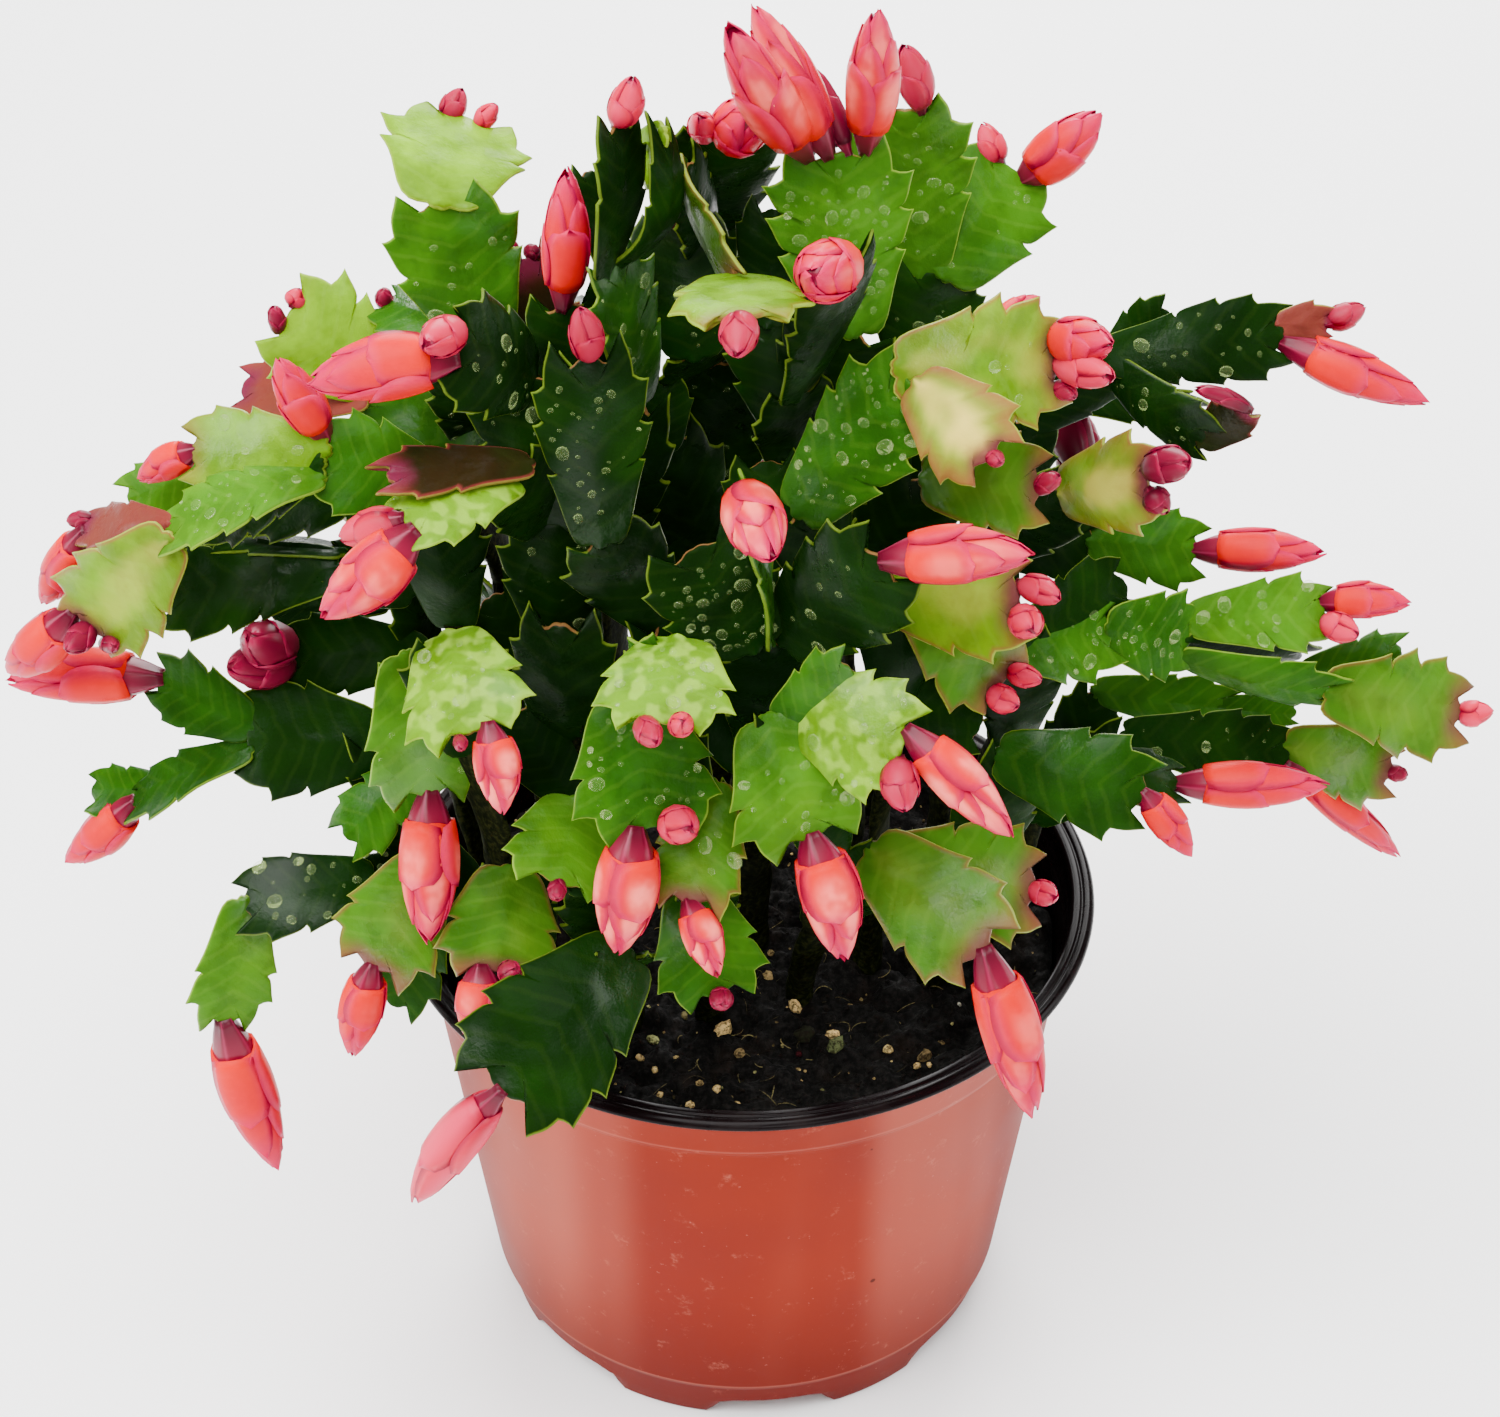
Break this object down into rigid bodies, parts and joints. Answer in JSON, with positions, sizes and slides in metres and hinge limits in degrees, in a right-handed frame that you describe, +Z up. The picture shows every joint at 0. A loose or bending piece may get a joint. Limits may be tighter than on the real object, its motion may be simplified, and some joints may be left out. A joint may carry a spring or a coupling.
{
  "type": "potted thanksgiving cactus",
  "caption": "Bushy thanksgiving cactus in bud: chains of flat toothed segments arch out of a round nursery pot and end in layered buds.",
  "frame": {"origin": "centre of the flat pad under the pot, on the surface that it stands on", "axes": "+Z up along the pot's axis, -Y toward the viewer of the picture, +X to the viewer's right"},
  "size_m": [0.3167, 0.2412, 0.3291],
  "materials": {
    "terracotta_plastic": "satin moulded plastic, terracotta outside",
    "black_plastic": "satin moulded plastic, near black inside and on the lip",
    "potting_soil": "rough damp peat",
    "soil_grit": "matte bark and grit crumbs",
    "cactus_green": "smooth waxy flesh",
    "cactus_young": "smooth waxy young flesh",
    "cactus_wood": "dull corky old stem",
    "bud_petal": "silky petals",
    "bud_tube": "smooth ribbed bud base",
    "water_drop": "clear water"
  },
  "bodies": {
    "root": {"pot": "terracotta_plastic", "soil": "potting_soil", "stem_back_far_left": "cactus_green", "stem_back_far_right": "cactus_green", "stem_back_left": "cactus_green", "stem_back_low_left": "cactus_green", "stem_back_middle": "cactus_green", "stem_back_right": "cactus_green", "stem_centre": "cactus_green", "stem_centre_right": "cactus_green", "stem_far_right": "cactus_green", "stem_front": "cactus_green", "stem_front_left": "cactus_green", "stem_front_right": "cactus_green", "stem_left": "cactus_green", "stem_left_dark": "cactus_green", "stem_left_front": "cactus_green", "stem_left_lower": "cactus_green", "stem_left_upper": "cactus_green", "stem_right_low_front": "cactus_green", "stem_right_lower": "cactus_green", "stem_right_middle": "cactus_green", "stem_right_upper": "cactus_green", "stem_top_left": "cactus_green", "stem_top_middle": "cactus_green", "stem_top_right": "cactus_green", "stem_upper_left": "cactus_green"}
  },
  "joints": []
}
